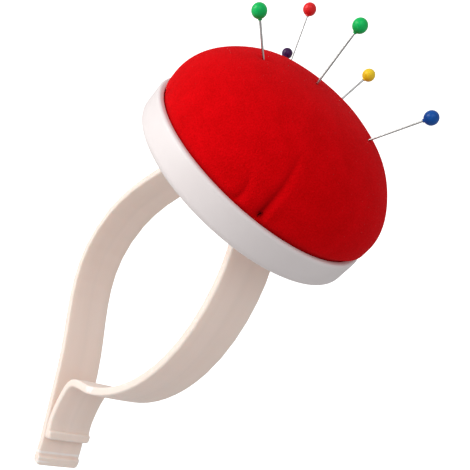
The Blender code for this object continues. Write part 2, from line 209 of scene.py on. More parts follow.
def noise_in(tree, place, size, detail=2.0):
    """A noise with blobs of about that size, a number in metres or a socket."""
    if isinstance(size, bpy.types.NodeSocket):
        scale = maths(tree, "DIVIDE", 1.0, size)
    else:
        scale = 1 / size
    return put(tree, "ShaderNodeTexNoise", {"Vector": place, "Scale": scale, "Detail": detail}).outputs["Fac"]


def blended(tree, share, first, second):
    """A colour between two others."""
    mix = put(tree, "ShaderNodeMix", {0: share, 6: first, 7: second}, data_type="RGBA")
    return mix.outputs[2]


def ranged(tree, value, low, high, from_low=0.3, from_high=0.7):
    """A noise's usual range stretched to run from low to high. These may be sockets."""
    numbers = {"Value": value, "From Min": from_low, "From Max": from_high, "To Min": low, "To Max": high}
    return put(tree, "ShaderNodeMapRange", numbers).outputs["Result"]


print("group tools ready")
# %% [markdown]
# ### Moulded plastic
# Plastic copies the steel of its mould, a fine even grain, and it flows in broad faint streaks of
# slightly different shade. The group mixes two shades along the flow and gives the grain as roughness and
# height.
# %% Moulded plastic group
moulded, ins, outs = new_group(
    "moulded_surface",
    [("Place", PLACE), ("Shade", COLOUR), ("Light", COLOUR), ("Flow Size", NUMBER), ("Grain Size", NUMBER),
     ("Roughness", NUMBER)],
    [("Colour", COLOUR), ("Roughness", NUMBER), ("Height", NUMBER)],
)
flow = noise_in(moulded, ins["Place"], ins["Flow Size"], 3.0)
grain = noise_in(moulded, ins["Place"], ins["Grain Size"], 2.0)
moulded.links.new(blended(moulded, ranged(moulded, flow, 0, 1), ins["Shade"], ins["Light"]), outs["Colour"])
grain_gloss = ranged(moulded, grain, -0.05, 0.07)
moulded.links.new(maths(moulded, "ADD", grain_gloss, ins["Roughness"]), outs["Roughness"])
moulded.links.new(grain, outs["Height"])
print("group", moulded.name, "nodes", len(moulded.nodes))
# %% [markdown]
# ### Cloth pile
# Short pile catches the light where it leans one way and goes darker where it leans the other. Two sizes
# of patch give the lean, and a fine noise stands for the fibre tips. The height has both, so that the
# pile looks soft.
# %% Pile group
pile, ins, outs = new_group(
    "cloth_pile",
    [("Place", PLACE), ("Deep", COLOUR), ("Bright", COLOUR), ("Patch Size", NUMBER), ("Fibre Size", NUMBER)],
    [("Colour", COLOUR), ("Height", NUMBER)],
)
patches = noise_in(pile, ins["Place"], ins["Patch Size"], 4.0)
tips = noise_in(pile, ins["Place"], ins["Fibre Size"], 2.0)
lean_and_tips = maths(pile, "MULTIPLY_ADD", tips, 0.65, maths(pile, "MULTIPLY", patches, 0.35))
brightness = ranged(pile, lean_and_tips, 0, 1, 0.36, 0.64)
pile.links.new(blended(pile, brightness, ins["Deep"], ins["Bright"]), outs["Colour"])
pile.links.new(lean_and_tips, outs["Height"])
print("group", pile.name, "nodes", len(pile.nodes))
# %% [markdown]
# ### Loose and spun fibre
# Stuffing, thread and card are all fibres, lying in different ways. A noise stretched along one axis of
# its place gives strands, and a second noise bends them, so that they don't look ruled.
# %% Strand group
strands, ins, outs = new_group(
    "strands",
    [("Place", PLACE), ("Strand Size", NUMBER), ("Stretch", PLACE), ("Deep", COLOUR), ("Bright", COLOUR)],
    [("Colour", COLOUR), ("Height", NUMBER)],
)
wander = put(strands, "ShaderNodeTexNoise", {"Vector": ins["Place"], "Scale": 1 / (4 * MM), "Detail": 1.0})
swayed = put(strands, "ShaderNodeVectorMath", {0: wander.outputs["Color"], 1: (2 * MM,) * 3, 2: ins["Place"]},
             operation="MULTIPLY_ADD")
drawn = put(strands, "ShaderNodeVectorMath", {0: swayed.outputs[0], 1: ins["Stretch"]}, operation="MULTIPLY")
strand = noise_in(strands, drawn.outputs[0], ins["Strand Size"], 3.0)
strands.links.new(blended(strands, ranged(strands, strand, 0, 1), ins["Deep"], ins["Bright"]), outs["Colour"])
strands.links.new(strand, outs["Height"])
print("group", strands.name, "nodes", len(strands.nodes))
# %% [markdown]
# ### Polished metal
# Drawn wire and turned rivets keep fine marks from the tool. They change the gloss a little from place to
# place, and handling leaves soft dull patches.
# %% Metal group
HANDLED_SIZE = 2.5 * MM  # of the patches that handling leaves
polished, ins, outs = new_group(
    "polished_metal",
    [("Place", PLACE), ("Mark Size", NUMBER), ("Clean", COLOUR), ("Dull", COLOUR), ("Roughness", NUMBER)],
    [("Colour", COLOUR), ("Roughness", NUMBER), ("Height", NUMBER)],
)
marks = noise_in(polished, ins["Place"], ins["Mark Size"], 3.0)
dullness = ranged(polished, noise_in(polished, ins["Place"], HANDLED_SIZE, 2.0), 0, 1)
polished.links.new(blended(polished, dullness, ins["Clean"], ins["Dull"]), outs["Colour"])
mark_gloss = ranged(polished, marks, -0.04, 0.08)
polished.links.new(maths(polished, "ADD", mark_gloss, ins["Roughness"]), outs["Roughness"])
polished.links.new(marks, outs["Height"])
print("group", polished.name, "nodes", len(polished.nodes))
# %% [markdown]
# ### Painted edge light and hollow shade
# Thin ivory plastic looks paler along its edges, where light comes through it, and inner corners lie in
# shade. Cycles' pointiness tells ridges from hollows, and the group paints a lighter colour on the ridges as
# painted light and a darker colour in the hollows as painted shade.
# %% Painted edge light and hollow shade group
edges, ins, outs = new_group(
    "edges_and_hollows",
    [("Colour", COLOUR), ("Painted Edge Light", COLOUR), ("Painted Hollow Shade", COLOUR)],
    [("Colour", COLOUR)],
)
bend_of = put(edges, "ShaderNodeNewGeometry").outputs["Pointiness"]
# painted light: ridges get the lighter edge colour, and hollows get a darker colour as painted shade
lit = blended(edges, ranged(edges, bend_of, 0, 1, 0.52, 0.60), ins["Colour"], ins["Painted Edge Light"])
painted_hollow_shade = ranged(edges, bend_of, 1, 0, 0.40, 0.48)
edges.links.new(blended(edges, painted_hollow_shade, lit, ins["Painted Hollow Shade"]), outs["Colour"])
print("group", edges.name, "nodes", len(edges.nodes))
# %% [markdown]
# ## Materials
# Each material is named for its slot in the record. A small maker starts each one with a Principled
# shader and the place on the piece, and the cells after it set the finish. What is the same all over is
# set on the shader itself.
# %% A maker for materials
def new_finish(name, **plain):
    """A material with a Principled shader. plain holds its uniform values, with _ for a space in a name."""
    finish = bpy.data.materials.new(name)
    finish.use_nodes = True
    shader = finish.node_tree.nodes["Principled BSDF"]
    for label, value in plain.items():
        shader.inputs[label.replace("_", " ")].default_value = value
    place = put(finish.node_tree, "ShaderNodeTexCoord").outputs["Object"]
    return finish, shader, place


def use(tree, group, inputs):
    """Place a shared group in a material, with its own values."""
    return put(tree, "ShaderNodeGroup", inputs, node_tree=group).outputs


def connect(tree, shader, surface, depth, colour=None):
    """Feed the shader a surface's colour, its roughness if it gives one, and its height as a bump that is
    depth metres deep. Another colour may stand in for the surface's own."""
    tree.links.new(surface["Colour"] if colour is None else colour, shader.inputs["Base Color"])
    if "Roughness" in surface:
        tree.links.new(surface["Roughness"], shader.inputs["Roughness"])
    bump = put(tree, "ShaderNodeBump", {"Height": surface["Height"], "Distance": depth, "Strength": 1.0})
    tree.links.new(bump.outputs["Normal"], shader.inputs["Normal"])


def shade(red, green, blue):
    return (red, green, blue, 1.0)


print("material tools ready")
# %% [markdown]
# ### Cup and pin-head plastics
# The cup is a cool white gloss moulding, with painted light on its rim and edges and painted shade in its
# hollows. The pin heads are hard glossy plastic balls in five colours, which differ only in colour, so a loop
# makes them.
# %% Cup and head finishes
cup_plastic, shader, place = new_finish("cup_plastic", Specular_IOR_Level=0.45)
tree = cup_plastic.node_tree
surface = use(tree, moulded, {
    "Place": place, "Shade": shade(0.76, 0.70, 0.695), "Light": shade(0.79, 0.735, 0.73),
    "Flow Size": 14 * MM, "Grain Size": 0.35 * MM, "Roughness": 0.38,
})
# painted light: the rim and edges are painted lighter, as the rim's highlight, and the hollows darker, as
# shade
cup_painted_edge_light_and_shade = use(tree, edges, {
    "Colour": surface["Colour"],
    "Painted Edge Light": shade(0.87, 0.85, 0.85), "Painted Hollow Shade": shade(0.70, 0.66, 0.66),
})
connect(tree, shader, surface, 0.006 * MM, cup_painted_edge_light_and_shade["Colour"])

HEAD_COLOURS = {
    "green": (shade(0.0, 0.42, 0.08), shade(0.001, 0.52, 0.115)),
    "red": (shade(0.68, 0.012, 0.014), shade(0.82, 0.018, 0.022)),
    "yellow": (shade(0.82, 0.55, 0.012), shade(0.94, 0.68, 0.03)),
    "indigo": (shade(0.035, 0.008, 0.055), shade(0.065, 0.014, 0.10)),
    "blue": (shade(0.0, 0.06, 0.29), shade(0.001, 0.085, 0.39)),
}
for colour, (deep, bright) in HEAD_COLOURS.items():
    finish, shader, place = new_finish(colour, Coat_Weight=0.12, Coat_Roughness=0.08, Specular_IOR_Level=0.16)
    surface = use(finish.node_tree, moulded, {
        "Place": place, "Shade": deep, "Light": bright,
        "Flow Size": 1.6 * MM, "Grain Size": 0.12 * MM, "Roughness": 0.28,
    })
    connect(finish.node_tree, shader, surface, 0.003 * MM)
print("materials", [m.name for m in bpy.data.materials])
# %% [markdown]
# ### Band plastic
# The ivory band is softer and warmer than the cup. Its flow streaks run lengthwise, with a faint darker line
# that wanders down the middle. Its edges are painted lighter, as light shining through the thin plastic, and
# its hollows are painted darker, as shade. The texture reads a place that was stored on the mesh, the
# distance along the band and across it, so the streaks follow every bend and stay put when the band flexes.
# %% Band finish
BAND_PLACE = "band_place"
LINE_WIDTH, LINE_STRENGTH, LINE_WANDER = 1.0 * MM, 0.14, 1.2 * MM
band_plastic, shader, _ = new_finish("band_plastic", Specular_IOR_Level=0.3, Subsurface_Weight=0.45,
                                     Subsurface_Radius=(1.0, 0.8, 0.7), Subsurface_Scale=2.2 * MM)
tree = band_plastic.node_tree
along = put(tree, "ShaderNodeAttribute", attribute_name=BAND_PLACE).outputs["Vector"]
drawn = put(tree, "ShaderNodeVectorMath", {0: along, 1: (0.08, 1, 1)}, operation="MULTIPLY").outputs[0]
surface = use(tree, moulded, {
    "Place": drawn, "Shade": shade(0.88, 0.745, 0.665), "Light": shade(0.92, 0.785, 0.71),
    "Flow Size": 5 * MM, "Grain Size": 0.4 * MM, "Roughness": 0.5,
})
# painted light: edges painted lighter, as light shining through thin plastic, and hollows darker, as shade
band_painted_edge_light_and_shade = use(tree, edges, {
    "Colour": surface["Colour"],
    "Painted Edge Light": shade(0.95, 0.88, 0.85), "Painted Hollow Shade": shade(0.70, 0.57, 0.49),
})
across = put(tree, "ShaderNodeSeparateXYZ", {0: along}).outputs["Y"]
wandered = maths(tree, "MULTIPLY_ADD", noise_in(tree, along, 12 * MM), LINE_WANDER, across)
from_line = maths(tree, "ABSOLUTE", maths(tree, "SUBTRACT", wandered, LINE_WANDER / 2))
line = ranged(tree, from_line, LINE_STRENGTH, 0.0, 0.0, LINE_WIDTH)
connect(tree, shader, surface, 0.008 * MM, blended(tree, line, band_painted_edge_light_and_shade["Colour"], shade(0.76, 0.67, 0.61)))
print("band finish made of", len(tree.nodes), "nodes")
# %% [markdown]
# ### Cushion cloth
# The cover is short-pile cloth in a strong red. A microfibre sheen gives the paler glow where the surface
# turns away, which is what tells pile from plain cotton. Deep in a fold the fibres shade each other, so a
# shade that is stored on the mesh darkens it there.
# %% Cloth finish
FOLD_SHADE = "fold_shade"
cover_cloth, shader, place = new_finish(
    "cover_cloth", Roughness=0.9, Specular_IOR_Level=0.03, Sheen_Weight=0.22, Sheen_Roughness=0.45,
    Sheen_Tint=shade(1.0, 0.045, 0.06),
)
tree = cover_cloth.node_tree
surface = use(tree, pile, {
    "Place": place, "Deep": shade(0.53, 0.0, 0.001), "Bright": shade(0.69, 0.0005, 0.003),
    "Patch Size": 4 * MM, "Fibre Size": 0.3 * MM,
})
in_fold = put(tree, "ShaderNodeAttribute", attribute_name=FOLD_SHADE).outputs["Fac"]
connect(tree, shader, surface, 0.22 * MM, blended(tree, in_fold, surface["Colour"], shade(0.24, 0.0, 0.001)))
print("cloth finish made of", len(tree.nodes), "nodes")
# %% [markdown]
# ### What is inside
# Stuffing, card, thread and glue are hidden while the cushion is whole. Each still gets its own surface,
# because the model can be taken apart.
# %% Inner finishes
FIBRES = {  # deep and bright colour, strand size in mm, stretch, roughness, height in mm
    "stuffing_fibre": (shade(0.70, 0.68, 0.63), shade(0.90, 0.89, 0.86), 0.25, (1, 1, 0.3), 0.95, 0.2),
    "guard_card": (shade(0.36, 0.27, 0.17), shade(0.58, 0.47, 0.33), 0.3, (0.3, 1, 1), 0.9, 0.03),
    "thread": (shade(0.32, 0.005, 0.008), shade(0.60, 0.02, 0.025), 0.12, (1, 1, 1), 0.7, 0.05),
    "glue": (shade(0.74, 0.66, 0.44), shade(0.86, 0.80, 0.62), 1.8, (1, 1, 1), 0.3, 0.15),
}
for name, (deep, bright, size, stretch, roughness, depth) in FIBRES.items():
    finish, shader, place = new_finish(name, Roughness=roughness)
    surface = use(finish.node_tree, strands, {
        "Place": place, "Strand Size": size * MM, "Stretch": stretch, "Deep": deep, "Bright": bright,
    })
    connect(finish.node_tree, shader, surface, depth * MM)
print("inner finishes", list(FIBRES))
# %% [markdown]
# ### Metals
# The pins are plated steel wire, smooth and rather dark. The rivets and washers are plain aluminium, paler
# and a little dull.
# %% Metal finishes
METALS = {  # clean and dull colour, mark size in mm, roughness, height in mm
    "pin_steel": (shade(0.55, 0.54, 0.53), shade(0.44, 0.43, 0.42), 0.15, 0.2, 0.002),
    "rivet_metal": (shade(0.78, 0.78, 0.79), shade(0.60, 0.60, 0.61), 0.3, 0.34, 0.006),
}
for name, (clean, dull, size, roughness, depth) in METALS.items():
    finish, shader, place = new_finish(name, Metallic=1.0)
    surface = use(finish.node_tree, polished, {
        "Place": place, "Mark Size": size * MM, "Clean": clean, "Dull": dull, "Roughness": roughness,
    })
    connect(finish.node_tree, shader, surface, depth * MM)
print("metals", list(METALS))
# %% [markdown]
# ### Dress a piece
# Each new piece wears one finish all over, because the real one is made of one material.
# %% Finishes on pieces
def wear(piece, finish_name):
    """Give a piece one material."""
    piece.data.materials.clear()
    piece.data.materials.append(bpy.data.materials[finish_name])


# %% [markdown]
# ## Tools for turned and softened shapes
# The cup, the rivets, the heads and the shafts are all round, so each is an outline turned about its
# axis, as on a lathe. Real mouldings have no sharp edges: `soften` rounds the corners of an outline, each
# with its own radius.
# %% Turning tools
def soften(points, radii, steps=5):
    """Round each inner corner of an open outline with an arc of its own radius. 0 keeps the corner."""
    soft = [Vector(points[0])]
    for before, corner, after, radius in zip(points, points[1:], points[2:], radii):
        corner = Vector(corner)
        if radius == 0:
            soft.append(corner)
            continue
        back, on = (Vector(before) - corner).normalized(), (Vector(after) - corner).normalized()
        half = back.angle(on) / 2
        centre = corner + (back + on).normalized() * radius / math.sin(half)
        first = corner + back * radius / math.tan(half) - centre
        last = corner + on * radius / math.tan(half) - centre
        soft += [centre + first.slerp(last, i / steps).normalized() * radius for i in range(steps + 1)]
    return soft + [Vector(points[-1])]


def add_mesh(name, shape, smooth_below=35):
    """Make an object of a bmesh, smooth where its faces meet at less than that angle."""
    bmesh.ops.recalc_face_normals(shape, faces=shape.faces)
    data = bpy.data.meshes.new(name)
    shape.to_mesh(data)
    shape.free()
    data.shade_smooth()
    data.set_sharp_from_angle(angle=math.radians(smooth_below))
    piece = bpy.data.objects.new(name, data)
    bpy.context.scene.collection.objects.link(piece)
    return piece


def turned(name, outline, steps, foot=Vector(), way=Vector((0, 0, 1)), smooth_below=35):
    """Turn an outline of (radius, height) points, from axis to axis, about a line through foot."""
    shape = bmesh.new()
    points = [shape.verts.new((radius, 0, height)) for radius, height in outline]
    runs = [shape.edges.new(pair) for pair in zip(points, points[1:])]
    bmesh.ops.spin(shape, geom=points + runs, cent=(0, 0, 0), axis=(0, 0, 1), angle=math.tau, steps=steps,
                   use_merge=True)
    bmesh.ops.remove_doubles(shape, verts=shape.verts, dist=SAME_POINT)
    turn = way.to_track_quat("Z", "Y").to_matrix().to_4x4()
    bmesh.ops.transform(shape, matrix=Matrix.Translation(foot) @ turn, verts=shape.verts)
    return add_mesh(name, shape, smooth_below)


def outline_of(node):
    """A CAD piece turned about an upright axis, as (level, largest radius) pairs from its foot up."""
    places = corners(node)
    middle = (places.min(0) + places.max(0)) / 2
    radii = np.hypot(*(places - middle)[:, :2].T)
    levels = np.unique(places[:, 2].round(6))
    return [(level, radii[abs(places[:, 2] - level) < SAME_POINT].max()) for level in levels]


print("outline of a rivet in mm:", [in_mm(pair) for pair in outline_of("left_rivet")])
# %% [markdown]
# ## The cup
# The cup is one injection moulding: a floor, a thin upright wall with a soft rim, and a generous round
# where the wall meets the base. Turning a softened outline is how its mould would be made, so the model
# is made that way too. The CAD cup gives every size; only the roundings are finer here.
# %% Cup
CUP_STEPS = 180
cup_places = corners("cup")
cup_radii = np.hypot(cup_places[:, 0], cup_places[:, 1])
cup_low, cup_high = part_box("cup")
cup_outer, base_z, rim_z = cup_high.x, cup_low.z, cup_high.z
cup_inner = cup_radii[cup_places[:, 2] > rim_z - SAME_LEVEL].min()
floor_z = cup_places[cup_radii < cup_inner - 1 * MM, 2].max()
foot_radius = cup_outer - cup_radii[cup_places[:, 2] < base_z + SAME_LEVEL].max()
RIM_INSIDE, RIM_OUTSIDE, FLOOR_CORNER = 0.35 * MM, 0.75 * MM, 0.8 * MM
cup_outline = soften(
    [(0, floor_z), (cup_inner, floor_z), (cup_inner, rim_z),
     (cup_outer, rim_z), (cup_outer, base_z), (0, base_z)],
    [FLOOR_CORNER, RIM_INSIDE, RIM_OUTSIDE, foot_radius], steps=8,
)
cup = turned("cup_moulding", cup_outline, CUP_STEPS)
print("cup radius inside and out, floor, rim and foot round in mm:",
      in_mm([cup_inner, cup_outer, floor_z, rim_z, foot_radius]))
# %% [markdown]
# ## Rivets
# Two aluminium rivets hold the band under the cup. Their flat heads lie sunk in the wrist seat, where
# they would touch the skin, so their edges are well rounded. The other ends are clinched over washers
# inside the cup.
# %% Rivets and the holes for them
RIVET_EDGE = 0.22 * MM
RIVET_STEPS = 40
BELOW_SEAT = 1 * MM  # how far below the seat the holes' cutters start
rivet_cutters = []
for side in ("left", "right"):
    node = f"{side}_rivet"
    low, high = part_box(node)
    axis = Vector(((low.x + high.x) / 2, 0, 0))
    (head_z, head_r), (sunk_z, _), (clinch_z, clinch_r) = outline_of(node)[:3]
    shank_r = min(radius for _, radius in outline_of(node))
    outline = soften(
        [(0, head_z), (head_r, head_z), (head_r, sunk_z), (shank_r, sunk_z), (shank_r, clinch_z),
         (clinch_r, clinch_z), (clinch_r, high.z), (0, high.z)],
        [RIVET_EDGE * 2, RIVET_EDGE, 0, 0, RIVET_EDGE, RIVET_EDGE * 3],
    )
    rivet = turned(f"{side}_rivet_turned", outline, RIVET_STEPS, axis)
    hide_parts(node)
    wear(rivet, "rivet_metal")
    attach(rivet, "cushion_and_cup")
    sink, hole = head_r + CLEARANCE, shank_r + CLEARANCE
    hole_outline = [
        (0, -BELOW_SEAT), (sink, -BELOW_SEAT), (sink, sunk_z + CLEARANCE), (hole, sunk_z + CLEARANCE),
        (hole, high.z), (0, high.z),
    ]
    rivet_cutters.append(turned(f"{side}_rivet_hole", hole_outline, RIVET_STEPS, axis))
    print(node, "head radius and shank radius in mm:", in_mm([head_r, shank_r]))


def settle(piece):
    """Keep what a piece's modifiers give as its mesh."""
    bpy.context.view_layer.update()
    piece.data = bpy.data.meshes.new_from_object(piece.evaluated_get(bpy.context.evaluated_depsgraph_get()))
    piece.modifiers.clear()


def drill(piece, cutters):
    """Cut holes in a piece and keep the result as its mesh."""
    for cutter in cutters:
        cut = piece.modifiers.new(cutter.name, "BOOLEAN")
        cut.operation = "DIFFERENCE"
        cut.object = cutter
    settle(piece)


drill(cup, rivet_cutters)
cup.data.set_sharp_from_angle(angle=math.radians(35))
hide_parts("cup")
wear(cup, "cup_plastic")
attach(cup, "cushion_and_cup")
print("cup faces", len(cup.data.polygons))
# %% [markdown]
# ## The band
# The band is one strip of springy plastic, bent round both sides of the wrist. The CAD model splits it
# where the arms hinge. Here it is two halves that meet under the middle of the cup, and each half bends
# smoothly from the cushion's body to its arm, so no hinge shows. The middle line of each half is read off
# the side of the CAD strips: one long face, from a square end to the next square corner, moved in by half
# the thickness.
# %% Read the middle line off the CAD strips
SQUARE = math.radians(60)  # a corner that turns more than this is cut square


def side_ring(node):
    """The corners round the near side of a CAD strip, in order, as (x, z) points."""
    shape = bmesh.new()
    shape.from_mesh(frame["nodes"][node].data)
    bmesh.ops.remove_doubles(shape, verts=shape.verts, dist=SAME_POINT)
    near_y = min(v.co.y for v in shape.verts)
    side = [f for f in shape.faces if max(v.co.y for v in f.verts) < near_y + SAME_LEVEL]
    face = bmesh.ops.dissolve_faces(shape, faces=side, use_verts=False)["region"][0]
    ring = [Vector((v.co.x, v.co.z)) for v in face.verts]
    shape.free()
    return ring


def is_square(ring, i):
    """Whether a ring turns sharply at one of its corners."""
    on = ring[(i + 1) % len(ring)] - ring[i]
    return (ring[i] - ring[i - 1]).angle(on) > SQUARE


def length_of(line):
    return sum((b - a).length for a, b in zip(line, line[1:]))


def shifted(line, offset):
    """A line moved sideways, to the left of its run where offset is positive, with mitred corners."""
    runs = [(b - a).normalized() for a, b in zip(line, line[1:])]
    ways = [runs[0], *[(a + b).normalized() for a, b in zip(runs, runs[1:])], runs[-1]]
    runs.append(runs[-1])
    return [p + Vector((-w.y, w.x)) * offset / w.dot(run) for p, w, run in zip(line, ways, runs)]


def read_strip(node, score):
    """A CAD strip from the square end whose middle scores highest: its middle line, its thickness, and the
    bar at its other end as (side, height, length). The bar's side is 1 where it is left of the run."""
    ring = side_ring(node)
    count = len(ring)
    ends = [i for i in range(count) if is_square(ring, i) and is_square(ring, (i + 1) % count)]
    start = max(ends, key=lambda i: score((ring[i] + ring[(i + 1) % count]) / 2))
    ring = ring[start + 1:] + ring[:start + 1]
    across = ring[-1] - ring[0]
    faces = []
    for way in (ring, ring[::-1]):
        stops = [i for i in range(1, count) if is_square(way, i)]
        faces.append((length_of(way[:stops[0] + 1]), way, stops))
    _, way, stops = max(faces)
    if way[0] != ring[0]:
        across = -across
    thickness = across.length
    on = way[1] - way[0]
    side = math.copysign(1, on.x * across.y - on.y * across.x)
    bar_height = (way[stops[1]] - way[stops[0]]).length - thickness
    bar_length = length_of(way[stops[1]:stops[2] + 1])
    return shifted(way[:stops[0] + 1], side * thickness / 2), thickness, (side, bar_height, bar_length)


bridge_line, band_thickness, _ = read_strip("band_bridge", lambda middle: -middle.x)
arms = {arm: read_strip(arm, lambda middle: middle.y) for arm in ("long_arm", "short_arm")}
band_low, band_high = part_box("band_bridge")
band_width = band_high.y - band_low.y
print("band thickness and width in mm:", in_mm([band_thickness, band_width]))
for arm, (line, _, bar) in arms.items():
    print(arm, "is", round(length_of(line) / MM, 1), "mm long")
    print("its bar has side", bar[0], "and height and length in mm", in_mm(bar[1:]))
# %% [markdown]
# ### One smooth line for each half
# The CAD line has a corner every few millimetres. A curve through those corners, with each tangent taken
# from its two neighbours and weighted for uneven spacing, gives back the smooth bend that they were read
# from. Long straight runs are cut up first, so that the curve can't swing away from them.
# %% Smooth lines
LINE_STEP = 0.8 * MM
STRAIGHT_STEP = 2.5 * MM


def cut_up(line, longest):
    """The same line with no run longer than that."""
    cut = [line[0]]
    for a, b in zip(line, line[1:]):
        pieces = math.ceil((b - a).length / longest)
        cut += [a.lerp(b, i / pieces) for i in range(1, pieces + 1)]
    return cut


def smooth_through(line, step):
    """A curve through a line's points, with a point at least every step."""
    runs = [b - a for a, b in zip(line, line[1:])]
    ways = [runs[0].normalized()]
    for a, b in zip(runs, runs[1:]):
        ways.append((a.normalized() * b.length + b.normalized() * a.length).normalized())
    ways.append(runs[-1].normalized())
    smooth = [line[0].to_3d()]
    for a, b, way_a, way_b in zip(line, line[1:], ways, ways[1:]):
        reach = (b - a).length / 3
        count = math.ceil((b - a).length / step) + 1
        handles = [p.to_3d() for p in (a, a + way_a * reach, b - way_b * reach, b)]
        smooth += geometry.interpolate_bezier(*handles, count)[1:]
    return [p.to_2d() for p in smooth]


def half_line(arm, side):
    """From the middle of the seat to the tip of an arm. side is -1 for the half that starts towards -X."""
    middle = Vector((0, band_thickness / 2))
    bridge = sorted((p for p in bridge_line if p.x * side > 0), key=lambda p: p.x * side)
    return smooth_through(cut_up([middle, *bridge, *arms[arm][0]], STRAIGHT_STEP), LINE_STEP)


SIDES = {"long_arm": -1, "short_arm": 1}
halves = {arm: half_line(arm, side) for arm, side in SIDES.items()}
print("half lengths in mm:", {arm: round(length_of(line) / MM, 1) for arm, line in halves.items()})
# %% [markdown]
# ### Sweep the section
# The section is a flat oblong with well rounded edges and slightly crowned faces, as a moulding has. It
# is swept along the line, ring by ring. Near the tip one face swells into the grip bar, the plan rounds
# in at the corners, and the last rings shrink to make a soft end. Each point stores its distance along
# the band and across it for the texture.
# %% Band sections
EDGE_ROUND = 0.55 * MM
FACE_CROWN = 0.10 * MM
EDGE_POINTS, FACE_POINTS = 5, 7


def section(left, right, half_width, edge):
    """Points round the band's section, as (offset to the left of the run, place across) pairs. left and right
    are the distances of the two faces from the middle line."""
    ring = []
    level = half_width - edge
    for face, other, way in ((left, -right, 1), (-right, left, -1)):
        for i in range(FACE_POINTS):
            share = 2 * i / (FACE_POINTS - 1) - 1
            ring.append((face - way * FACE_CROWN * share**2, way * level * share))
        turns = [math.radians(90) * i / EDGE_POINTS for i in range(1, EDGE_POINTS + 1)]
        drops = [(FACE_CROWN + edge * (1 - math.cos(turn)), level + edge * math.sin(turn)) for turn in turns]
        ring += [(face - way * drop, way * out) for drop, out in drops]
        ring += [(other + way * drop, way * out) for drop, out in drops[::-1]]
    return ring


print("points round the section:", len(section(1, 1, 4, 0.5)))
# %% Band halves
TIP_ROUND = 0.45 * MM
PLAN_ROUND = 1.5 * MM  # how far from the tip the plan starts to round in
PLAN_DEPTH = PLAN_ROUND * 0.6  # and how far in it gets
BAR_BLEND = 0.6 * MM
NEAR_TIP, FINE_STEP, TIP_RINGS = 4.5 * MM, 0.15 * MM, 5


def smooth_step(share):
    share = min(max(share, 0), 1)
    return share * share * (3 - 2 * share)


def measured(line):
    """A line's points, one row each, and how far along it each one is."""
    points = np.array(line)
    return points, np.concatenate([[0], np.cumsum(np.hypot(*np.diff(points, axis=0).T))])


def sweep_band(name, line, bar):
    """One half of the band along its middle line, with the grip bar at its tip."""
    side, bar_height, bar_length = bar
    points, reached = measured(line)
    total = reached[-1]
    slopes = np.gradient(points, reached, axis=0)
    rows = [(distance, 0) for distance in np.arange(0, total - NEAR_TIP, LINE_STEP)]
    rows += [(distance, 0) for distance in np.arange(total - NEAR_TIP, total - TIP_ROUND, FINE_STEP)]
    turns = [math.radians(90) * i / TIP_RINGS for i in range(TIP_RINGS + 1)]
    rows += [(total - TIP_ROUND * (1 - math.sin(t)), TIP_ROUND * (1 - math.cos(t))) for t in turns]
    shape = bmesh.new()
    rings = []
    for distance, inset in rows:
        to_tip = total - distance
        raised = bar_height * smooth_step((bar_length - to_tip) / BAR_BLEND + 0.5)
        left, right = (band_thickness / 2 + raised * (side == way) - inset for way in (1, -1))
        short_of = max(0, 1 - to_tip / PLAN_ROUND)
        plan_inset = PLAN_DEPTH * (1 - math.sqrt(1 - short_of**2))
        middle = Vector([np.interp(distance, reached, points[:, k]) for k in (0, 1)])
        on = Vector([np.interp(distance, reached, slopes[:, k]) for k in (0, 1)]).normalized()
        out = Vector((-on.y, on.x))
        ring = section(left, right, band_width / 2 - plan_inset - inset, EDGE_ROUND - inset)
        places = [(middle + out * offset, y) for offset, y in ring]
        rings.append([shape.verts.new((place.x, y, place.y)) for place, y in places])
    for before, after in zip(rings, rings[1:]):
        for i in range(len(before)):
            shape.faces.new((before[i - 1], before[i], after[i], after[i - 1]))
    shape.faces.new(rings[0])
    shape.faces.new(rings[-1])
    return add_mesh(name, shape, 50)


def store_band_place(piece, line, side):
    """Store each point's distance along the band and across it, for the band's texture."""
    places = places_of(piece)
    points, reached = measured(line)
    nearest = np.array([np.hypot(*(points - place).T).argmin() for place in places[:, (0, 2)]])
    slopes = np.gradient(points, reached, axis=0)[nearest]
    past = ((places[:, (0, 2)] - points[nearest]) * slopes).sum(1)
    along = (reached[nearest] + past) * side
    stored = piece.data.attributes.new(BAND_PLACE, "FLOAT_VECTOR", "POINT")
    stored.data.foreach_set("vector", np.column_stack([along, places[:, 1], places[:, 1] * 0]).ravel())


band_halves = {}
for (arm, line), cutter in zip(halves.items(), rivet_cutters):
    half = sweep_band(f"{arm}_half_band", line, arms[arm][2])
    drill(half, [cutter])
    half.data.set_sharp_from_angle(angle=math.radians(50))
    store_band_place(half, line, SIDES[arm])
    wear(half, "band_plastic")
    band_halves[arm] = half
    print(half.name, "faces", len(half.data.polygons))
# %% [markdown]
# ### Set the halves in place
# Each half's place is baked into its mesh. The CAD strips are hidden, and the cutters for the rivet holes are
# removed.
# %% Bake the halves and hide the CAD strips
for arm, half in band_halves.items():
    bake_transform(half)
    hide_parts(arm)
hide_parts("band_bridge")
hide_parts("band_bridge")
for cutter in rivet_cutters:
    bpy.data.objects.remove(cutter)
# %% [markdown]
# ## The cushion
# A disc of cloth is drawn up round a handful of fibre and a card disc, and glued into the cup. Above the
# rim it is a tight dome, a little square in section, that swells just past the rim. Where the gathers
# don't lie flat they run up the side as tucks. The form starts as a ball of even squares, shaped like the
# CAD cushion but hanging out a little over the lip.
# %% The cushion's form
DOME_FULLNESS = 0.8  # less than 1 makes the dome squarer in section than an ellipsoid
OVERHANG = 1.0 * MM  # how far the filled cloth hangs out over the cup's lip
FULL_SIDE = math.radians(49)  # the side that it was glued nearer to
FULLER_BY = 0.95 * MM  # how much more it hangs out there
ROLL_RISE = 1.3 * MM  # how far above the lip it has rolled all the way out
GRID = 44  # squares along each edge of the starting cube
SHRUNK = 0.45 * MM  # what the filling swells by
LIP_LEAN = 0.15 * MM  # how far the cloth leans in from its widest level down to the lip
BELLY_ROUND, CREASE_ROUND, TUCK_ROUND = 0.6 * MM, 0.5 * MM, 1.2 * MM  # above, at and below the lip

